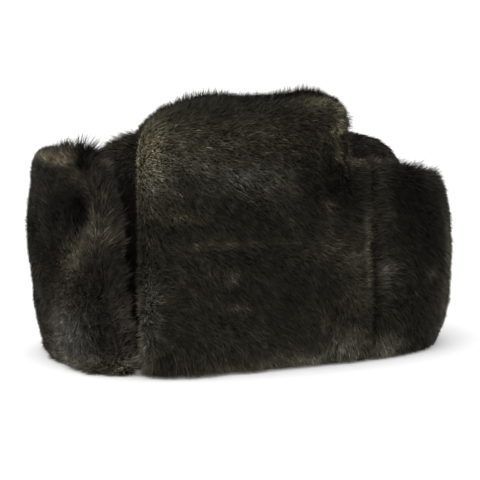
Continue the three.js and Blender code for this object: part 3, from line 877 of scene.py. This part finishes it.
def studio():
    """A pale floor that turns up into a wall behind the hat."""
    profile = [(FLOOR_NEAR, 0.0), (FLOOR_FAR, 0.0)]
    for step in range(1, BEND_STEPS + 1):
        turn = step / BEND_STEPS * math.pi / 2
        out = FLOOR_FAR + BACKDROP_BEND * math.sin(turn)
        profile.append((out, BACKDROP_BEND - BACKDROP_BEND * math.cos(turn)))
    profile.append((FLOOR_FAR + BACKDROP_BEND, BACKDROP_TOP))
    away = np.array([-math.sin(CAMERA_AZIMUTH), math.cos(CAMERA_AZIMUTH)])
    across = np.array([math.cos(CAMERA_AZIMUTH), math.sin(CAMERA_AZIMUTH)])
    points = []
    for out, z in profile:
        for side in (-FLOOR_HALF_WIDTH, FLOOR_HALF_WIDTH):
            place = away * out + across * side
            points.append((place[0], place[1], z))
    faces = [(2 * i, 2 * i + 1, 2 * i + 3, 2 * i + 2) for i in range(len(profile) - 1)]
    floor = mesh_object("studio_floor", points, faces)
    material, nodes, links, shader = finish_nodes("pale_floor")
    tone = ramped(nodes, links, object_noise(nodes, links, 9.0, 2.0), [
        (0.3, (0.93, 0.93, 0.93)), (0.7, (0.96, 0.96, 0.96)),
    ])
    links.new(tone, shader.inputs["Base Color"])
    shader.inputs["Roughness"].default_value = 0.9
    shader.inputs["Emission Color"].default_value = (1.0, 1.0, 1.0, 1.0)
    shader.inputs["Emission Strength"].default_value = 0.12
    floor.data.materials.append(material)


def soft_light(name, place, aim, size, power):
    lamp = bpy.data.lights.new(name, "AREA")
    lamp.shape = "RECTANGLE"
    lamp.size, lamp.size_y = size
    lamp.energy = power
    made = scene_object(name, lamp)
    made.location = place
    made.rotation_euler = (Vector(aim) - Vector(place)).to_track_quat("-Z", "Y").to_euler()


def studio_camera():
    data = bpy.data.cameras.new("camera")
    data.sensor_width = 36.0
    data.lens = CAMERA_LENS
    data.clip_start = 0.05
    made = scene_object("camera", data)
    turn, rise = CAMERA_AZIMUTH, CAMERA_ELEVATION
    back = Vector((math.sin(turn) * math.cos(rise), -math.cos(turn) * math.cos(rise), math.sin(rise)))
    right = Vector((math.cos(turn), math.sin(turn), 0.0))
    above = back.cross(right)
    made.location = back * CAMERA_DISTANCE
    aim = right * CAMERA_ASIDE + above * CAMERA_ABOVE
    level = (aim - made.location).to_track_quat("-Z", "Y")
    made.rotation_euler = (level @ Quaternion((0, 0, 1), CAMERA_ROLL)).to_euler()
    bpy.context.scene.camera = made


studio()
studio_camera()
soft_light("light_above", LIGHT_PLACE, LIGHT_AIM, LIGHT_SIZE, LIGHT_POWER)
world = bpy.data.worlds.new("studio")
world.use_nodes = True
sky = world.node_tree.nodes["Background"]
sky.inputs["Color"].default_value = (1, 1, 1, 1)
sky.inputs["Strength"].default_value = SKY_STRENGTH
bpy.context.scene.world = world
bpy.context.scene.view_settings.view_transform = "Standard"


# The flaps' outlines, and how their skins thin and stand in at the edges

SEAM_START = EAR_NECK_SEAM + PIECE_GAP


def front_height(at):
    return rounded_top(FRONT_FLAP_HEIGHT, FRONT_FLAP_END - np.abs(at), FRONT_TOP_CORNER)


def front_edge(at, up, top):
    side = round_edge(FRONT_FLAP_END - np.abs(at), FRONT_SIDE_ROUND, EDGE_LEAST)
    return np.minimum(side, round_edge(top - up, FRONT_TOP_ROUND, FRONT_TOP_LEAST))


def front_place(at, up):
    taper = 1 - FRONT_TOP_TAPER / FRONT_FLAP_END * smoothstep(up, 30, FRONT_FLAP_HEIGHT)
    return standing_place(at * taper, up)


def front_drawn_in(at, up, top):
    side = np.sign(at) * FUR_EDGE * np.abs(at / FRONT_FLAP_END) ** 5
    drawn = sum(far * smoothstep(up, low, high) for far, low, high in FRONT_END_DRAWN)
    side += drawn * np.clip(at / FRONT_FLAP_END, 0, 1) ** 3
    return at - side, up - FUR_EDGE * (up / top) ** 5


def seam_edge(distance, up):
    """The edge beside the neck flap's seam, deep at the foot and closing up higher."""
    return np.maximum(round_edge(distance, SEAM_ROUND, SEAM_LEAST), 0.97 * smoothstep(up, 40, 82))


def neck_height(at):
    return np.interp(np.abs(RIM_LENGTH / 2 - at), NECK_HEIGHTS[:, 0], NECK_HEIGHTS[:, 1])


def neck_edge(at, up, top):
    side = seam_edge(np.minimum(at - SEAM_START, RIM_LENGTH - SEAM_START - at), up)
    return np.minimum(side, round_edge(top - up, EDGE_ROUND, EDGE_LEAST))


def neck_drawn_in(at, up, top):
    half = RIM_LENGTH / 2 - SEAM_START
    side = (at - RIM_LENGTH / 2) / half
    return at - np.sign(side) * SEAM_DRAWN * np.abs(side) ** 9, up - FUR_EDGE * (up / top) ** 5


def ear_height(at, front_corner):
    front = rounded_top(EAR_FLAP_LENGTH, at - EAR_FLAP_START, front_corner)
    rear = rounded_top(EAR_FLAP_LENGTH, EAR_FLAP_NOTCH - at, EAR_REAR_CORNER)
    return np.where(at > EAR_FLAP_NOTCH + 1, NECK_FLAP_HEIGHT, np.minimum(front, rear))


def ear_edge(at, up, top):
    short = np.maximum(EAR_FLAP_NOTCH - at, 0)
    corner = np.hypot(short, np.maximum(NECK_FLAP_HEIGHT - up, 0))
    notch = round_edge(corner, EDGE_ROUND, EDGE_LEAST)
    notch = np.where(at > EAR_FLAP_NOTCH + 1, 1, notch)
    edge = np.minimum(round_edge(at - EAR_FLAP_START, EDGE_ROUND, EDGE_LEAST), notch)
    edge = np.minimum(edge, seam_edge(EAR_NECK_SEAM - at, up))
    return np.minimum(edge, round_edge(top - up, EDGE_ROUND, EDGE_LEAST))


def ear_drawn_in(at, up, top, top_drawn):
    """The rear edge stands in above the notch, and is let out a little near the flap's top."""
    front = FUR_EDGE * np.clip(1 - (at - EAR_FLAP_START) / EDGE_REACH, 0, 1) ** 2
    notch = FUR_EDGE * np.clip(1 - np.abs(EAR_FLAP_NOTCH - at) / EDGE_REACH, 0, 1) ** 2
    notch *= smoothstep(up, NECK_FLAP_HEIGHT - 16, NECK_FLAP_HEIGHT + 4) * (at <= EAR_FLAP_NOTCH)
    notch *= 1 - 1.5 * smoothstep(up, 136, 156)
    seam = SEAM_DRAWN * np.clip(1 - (EAR_NECK_SEAM - at) / 6, 0, 1)
    return at + front - notch - seam, up - top_drawn * (up / top) ** 6


EAR_COLUMNS = np.concatenate([
    spread(EAR_FLAP_START, EAR_FLAP_NOTCH, 58), [210.2, 212.5, 215.5, 218.5, 221.5, 224],
])

# The flaps' fur

# Each flap has a base and a table of soft patches for its fur's direction (nap, brushed), its length
# (pile, piles), how flat it lies (lie, lies), the tint of its painted sheen (warmth, cool), how unequal
# its length is (rags), and its painted sheen and painted shade (tones): paler where the fur catches the
# light, darker in dents and shade.
# Rows of brushed: distance round the rim, distance up, half width, half height, direction in degrees
# (0 up the flap, 90 on round the rim), strength. The other rows end with the change instead.
FRONT_FLAP = {
    "name": "front_flap", "columns": spread(-FRONT_FLAP_END, FRONT_FLAP_END, 62), "rows": 56,
    "length": FRONT_FLAP_HEIGHT, "even": 100, "height": front_height, "edge": front_edge,
    "drawn_in": front_drawn_in, "place": front_place, "dents": FRONT_DENTS, "seed": 11,
    "outer_pile": 4.4, "inner_pile": 4.5, "mirrored": False,
    # The tint of the painted sheen, made cooler in patches
    "warmth": 1.3,
    "cool": [(30, 24, 38, 26, -3.4), (62, 40, 12, 20, -1.6), (-40, 60, 40, 50, -1.0)],
    "nap": 15,
    "brushed": [
        (66, 100, 18, 50, 42, 4.0), (48, 76, 12, 12, 50, 2.5), (30, 60, 16, 16, 130, 1.6),
        (34, 26, 26, 20, 150, 2.0), (-30, 50, 36, 40, 170, 2.0), (24, 133, 50, 6, 75, 2.0),
        (66, 24, 10, 18, 100, 2.0), (73, 18, 4, 26, 25, 4.0), (56, 44, 12, 12, 150, 2.0),
        (20, 1, 90, 4, 0, 5.0),
    ],
    "pile": 7.0,
    "piles": [
        (64, 96, 13, 48, 3), (73, 96, 4, 50, 1.8), (74, 16, 3, 22, 2.5), (36, 139, 38, 4, 10),
        (40, 137, 16, 4, 3), (-40, 130, 40, 30, -2), (-20, 50, 50, 40, -1), (54, 2, 26, 5, 4.5),
    ],
    "lie": 0.68,
    "lies": [(60, 96, 14, 50, 0.32), (36, 137, 34, 6, -0.3)],
    "rags": [(36, 137, 40, 6, 0.8), (72, 90, 8, 60, 0.6)],
    # Painted sheen and painted shade: paler where the fur catches the light, darker in the dent, along
    # the top edge and in shade
    "tones": [
        (44, 97, 17, 13, -1.5), (60, 82, 9, 9, 2.5), (47, 75, 9, 7, 3.2), (37, 68, 11, 8, 4.0),
        (67, 86, 9, 16, 0.8), (65, 106, 7, 11, 0.9), (14, 131.5, 42, 3.4, 6.4), (50, 122, 12, 4, 1.6),
        (54, 132, 5.5, 4.5, -4.0), (30, 26, 26, 18, 3.6), (36, 8, 24, 8, 3.2), (-30, 40, 40, 50, 0.3),
        (71, 33, 4, 8, 1.2), (54, 24, 8, 10, -1.5), (66, 31, 7, 5, -0.6), (66, 16, 6, 6, 0.6),
        (70, 5, 10, 5, 5.0), (14, 99, 14, 34, -0.5), (30, 139.5, 60, 4, -6.0), (38, 53, 15, 13, 1.2),
        (52, 36, 14, 9, 0.7), (66, 64, 7, 9, -0.3), (60, 126, 5, 7, -1.2), (75, 108, 5, 30, -0.45),
        (79, 43, 3, 16, 2.2), (22, 6, 22, 6, 1.6),
    ],
}

LEFT_EAR_FLAP = {
    "name": "left_ear_flap", "columns": EAR_COLUMNS, "rows": 76,
    "length": EAR_FLAP_LENGTH, "even": 96, "edge": ear_edge,
    "height": lambda at: ear_height(at, LEFT_FRONT_CORNER),
    "drawn_in": lambda at, up, top: ear_drawn_in(at, up, top, LEFT_TOP_DRAWN),
    "dents": LEFT_EAR_DENTS, "seed": 23,
    "place": lambda at, up: ear_place(at, up, LEFT_FRONT_DRAWN),
    "outer_pile": 4.6, "inner_pile": 4.5, "mirrored": False,
    # The tint of the painted sheen, made cooler in patches
    "warmth": 0.8,
    "cool": [
        (140, 118, 44, 12, -3.2), (150, 70, 60, 40, -0.4), (86, 36, 9, 44, -2.8),
        (198, 10, 26, 12, -2.6),
    ],
    "nap": 150,
    "brushed": [
        (88, 132, 12, 28, 130, 3.0), (140, 168, 50, 14, 95, 2.6), (192, 168, 14, 12, 150, 3.0),
        (206, 126, 12, 16, 215, 2.5), (206, 22, 22, 18, 225, 2.5), (88, 46, 12, 26, 60, 3.0),
        (198, 76, 16, 12, 115, 2.5), (218, 70, 6, 38, 40, 3.0), (150, 80, 40, 6, 95, 1.5),
        (140, 30, 50, 12, 110, 1.2), (219, 116, 7, 26, 95, 3.0), (104, 12, 26, 9, 185, 5.0),
    ],
    "pile": 6.0,
    "piles": [
        (79, 130, 5, 70, -2.2), (94, 136, 18, 34, -1.8), (174, 189, 20, 8, 6.5),
        (204, 176, 8, 14, -2.5), (206, 158, 6, 14, 2.5), (90, 44, 10, 30, 2.5), (106, 1, 24, 3, -3),
        (106, 12, 22, 6, 9), (145, 10, 6, 6, 5), (170, 2, 40, 6, -3), (120, 188, 40, 10, 4),
        (217, 127, 8, 6, -2),
    ],
    "lie": 0.66,
    "lies": [
        (170, 188, 24, 10, -0.25), (110, 186, 50, 12, -0.2), (88, 134, 12, 26, 0.2),
        (140, 160, 46, 12, 0.2),
    ],
    "rags": [
        (90, 136, 18, 46, -1.1), (146, 3, 70, 5, 1.6), (200, 168, 14, 24, 2.0), (206, 140, 8, 14, 1.0),
        (106, 11, 26, 8, 2.4),
    ],
    # Painted sheen and painted shade: paler where the fur catches the light, with small painted
    # highlights, darker where it lies in shade
    "tones": [
        (86, 133, 13, 23, 7.0), (82, 144, 6, 18, 1.5), (116, 136, 20, 12, 1.6), (124, 125, 26, 4, 0.6),
        (148, 115, 22, 8, 1.9), (112, 148, 18, 12, 1.0), (160, 123, 20, 5, 0.6),
        (146, 140, 38, 14, 0.8), (186, 114, 22, 16, -0.5), (85, 42, 5, 26, 3.2), (80, 34, 4, 20, 2.0),
        (95, 96, 10, 12, -0.3), (91, 53, 5, 7, 1.3), (196, 75, 12, 4.5, 1.9), (205, 66, 8, 4, 1.8),
        (190, 90, 6, 3, 1.0), (209, 50, 6, 10, 1.0), (208, 14, 11, 9, 4.9), (182, 7, 15, 5, 5.4),
        (164, 12, 14, 5, 0.6), (202, 158, 5, 5, 3.0), (218.5, 72, 1.4, 24, 2.8),
        (190, 163, 12, 7, 4.5), (203, 146, 4, 6, 4.5), (130, 80, 32, 1.8, 1.4), (104, 97, 7, 2.6, 1.7),
        (194, 100, 2.5, 3, 2.4), (192, 32, 2.5, 2.5, 1.8), (208, 130, 4, 6, 2.0),
        (217, 126.5, 7, 1.8, 2.0), (182, 182, 32, 7, -0.95), (100, 70, 10, 6, 0.3),
        (150, 50, 50, 26, -0.15), (133, 62, 2.5, 3.2, 3.2), (120, 64, 3, 3, 1.2),
        (135, 44, 8, 1.6, 2.2), (77, 14, 4, 14, 2.2), (90, 14, 8, 12, -0.5), (122, 7, 12, 4, 2.2),
        (146, 6, 12, 4, 2.0), (140, 2.5, 60, 3.5, 2.4), (170, 100, 30, 12, -0.2),
        (205, 108, 9, 26, -0.4), (218, 106, 8, 22, -0.35),
    ],
}

RIGHT_EAR_FLAP = {
    **LEFT_EAR_FLAP,
    "name": "right_ear_flap", "dents": RIGHT_EAR_DENTS, "seed": 37, "mirrored": True,
    "height": lambda at: ear_height(at, RIGHT_FRONT_CORNER),
    "drawn_in": lambda at, up, top: ear_drawn_in(at, up, top, RIGHT_TOP_DRAWN),
    "place": lambda at, up: ear_place(at, up, RIGHT_FRONT_DRAWN),
    "brushed": [
        (92, 120, 16, 40, 120, 2.0), (150, 176, 40, 10, 95, 2.0), (200, 60, 20, 40, 215, 1.6),
        (130, 50, 30, 30, 190, 1.2), (218, 84, 6, 46, 15, 3.4), (90, 40, 12, 24, 30, 3.0),
    ],
    "piles": [
        (150, 3, 90, 7, 4), (150, 186, 50, 12, 1.5), (106, 189, 24, 9, 4.5), (88, 183, 10, 10, 5),
    ],
    "lies": [(110, 188, 50, 10, -0.3), (150, 3, 90, 6, -0.1)],
    "rags": [(110, 188, 50, 12, -1.4)],
    # Painted sheen and painted shade: paler where the fur catches the light, darker where it lies in
    # shade
    "tones": [
        (110, 130, 22, 18, 1.8), (150, 88, 34, 9, 0.9), (204, 20, 20, 12, 1.6), (92, 60, 10, 30, 1.0),
        (218, 84, 3, 40, 1.4), (130, 188, 60, 12, -0.85),
    ],
}

NECK_FLAP = {
    "name": "neck_flap", "columns": spread(SEAM_START, RIM_LENGTH - SEAM_START, 84), "rows": 52,
    "length": NECK_FLAP_HEIGHT, "even": 96, "height": neck_height, "edge": neck_edge,
    "drawn_in": neck_drawn_in, "place": standing_place, "seed": 41,
    "dents": NECK_DENTS + [(RIM_LENGTH - row[0], *row[1:]) for row in NECK_DENTS],
    "outer_pile": 4.6, "inner_pile": 4.5, "mirrored": False,
    # The tint of the painted sheen, made cooler in patches
    "warmth": 0.8,
    "cool": [(238, 50, 16, 20, -2.8), (242, 12, 22, 12, -2.0)],
    "nap": 165,
    "brushed": [
        (227, 70, 7, 40, 40, 3.0), (228, 116, 8, 22, 95, 3.0), (236, 56, 10, 10, 60, 4.0),
        (246, 48, 10, 12, 150, 3.0), (264, 90, 16, 40, 150, 1.6), (242, 16, 18, 12, 215, 2.5),
        (RIM_LENGTH / 2, 70, 70, 40, 190, 1.5), (RIM_LENGTH - 250, 70, 30, 40, 205, 1.8),
        (330, 40, 24, 18, 130, 1.6), (392, 80, 22, 22, 230, 1.6),
    ],
    "pile": 6.4,
    "piles": [
        (RIM_LENGTH / 2, 122, 80, 10, 2), (RIM_LENGTH / 2, 3, 130, 7, 4), (260, 126, 22, 6, 7),
        (298, 4, 34, 12, -6), (298, 50, 34, 30, 1.6), (278, 122, 14, 10, 5),
    ],
    "lie": 0.62,
    "lies": [(RIM_LENGTH / 2, 124, 130, 7, -0.2), (RIM_LENGTH / 2, 4, 130, 8, -0.1)],
    "rags": [],
    # Painted sheen and painted shade: paler where the fur catches the light, darker where it lies in
    # shade
    "tones": [
        (231, 56, 4.5, 8, 2.4), (237, 57, 5, 4, 1.4), (268, 55, 3, 3, 3.6), (236, 11, 12, 7, 5.0),
        (287, 50, 4, 44, 1.8), (264, 76, 22, 60, -0.7), (236, 126.5, 12, 1.7, 1.5),
        (246, 108, 24, 20, -0.4), (260, 124, 26, 6, -0.3), (330, 60, 26, 14, 1.2),
        (380, 40, 30, 12, 1.0), (350, 118, 60, 8, 1.2), (410, 90, 22, 16, 1.0), (228, 90, 7, 30, 0.3),
    ],
}

# Rows of piece, flap, short hairs, their width, long hairs, their width, and the coat: clump size,
# clumping, tuft size and tufting. Widths and sizes are in millimetres.
FLAP_FUR = [
    ("front_flap", FRONT_FLAP, 102000, 0.6, 28000, 0.5, (13, 1.4, 5, 1.6)),
    ("left_ear_flap", LEFT_EAR_FLAP, 124000, 0.52, 23000, 0.42, (16, 0.7, 4, 1.1)),
    ("right_ear_flap", RIGHT_EAR_FLAP, 100000, 0.6, 22000, 0.5, (16, 0.7, 4, 1.1)),
    ("neck_flap", NECK_FLAP, 110000, 0.58, 22000, 0.46, (15, 0.8, 4, 1.2)),
]

backing = backing_finish("fur_backing", (0.008, 0.007, 0.0055))
cloth = backing_finish("crown_lining", (0.012, 0.0103, 0.0078))
fur = fur_finish("black_fur", (0.0658, 0.0612, 0.044))
# A lit copy of black_fur with paler tips: painted light that brightens the front flap, which is seen at
# a slant
front_fur_lit_copy = fur_finish("front_fur_lit_copy", (0.069, 0.0628, 0.0492))
crown_fur = fur_finish("crown_fur", (0.026, 0.022, 0.014))
short_hair = hair_blade("short_hair", (0.0,))
long_hair = hair_blade("long_hair", (0.0, 0.5))

THIN = 1.0

# Stray, curling and share of the pile's length
SHORT_FUR = (0.4, 3.0, 0.9)
LONG_FUR = (0.25, 0.8, 1.12)


def furred_piece(skin, node, finish, finish_slot, short, short_width, long, long_width, coat, seed):
    """The skin with its dense short hair and the longer hair over it."""
    under = grow_fur(node + "_short_fur", skin, short_hair, finish, short * THIN, short_width,
                     coat, *SHORT_FUR, seed)
    over = grow_fur(node + "_long_fur", skin, long_hair, finish, long * THIN, long_width,
                    coat, *LONG_FUR, seed + 50)
    for piece in (skin, under, over):
        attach(piece, "root")
        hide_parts(node)


for number, (name, flap, *coat) in enumerate(FLAP_FUR):
    skin = flap_skin(flap)
    skin.data.materials.append(backing)
    furred_piece(skin, name, front_fur_lit_copy if flap is FRONT_FLAP else fur, "fur", *coat, 100 + number)

crown = crown_skin()
crown.data.materials.append(cloth)
furred_piece(crown, "crown", crown_fur, "crown", 60000, 0.5, 8000, 0.45, (12, 0.8, 4, 1.2), 120)

bpy.data.objects.remove(short_hair)
bpy.data.objects.remove(long_hair)

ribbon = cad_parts["tie_ribbon"]
weave = ribbon_finish()
for slot in ribbon.material_slots:
    slot.material = weave
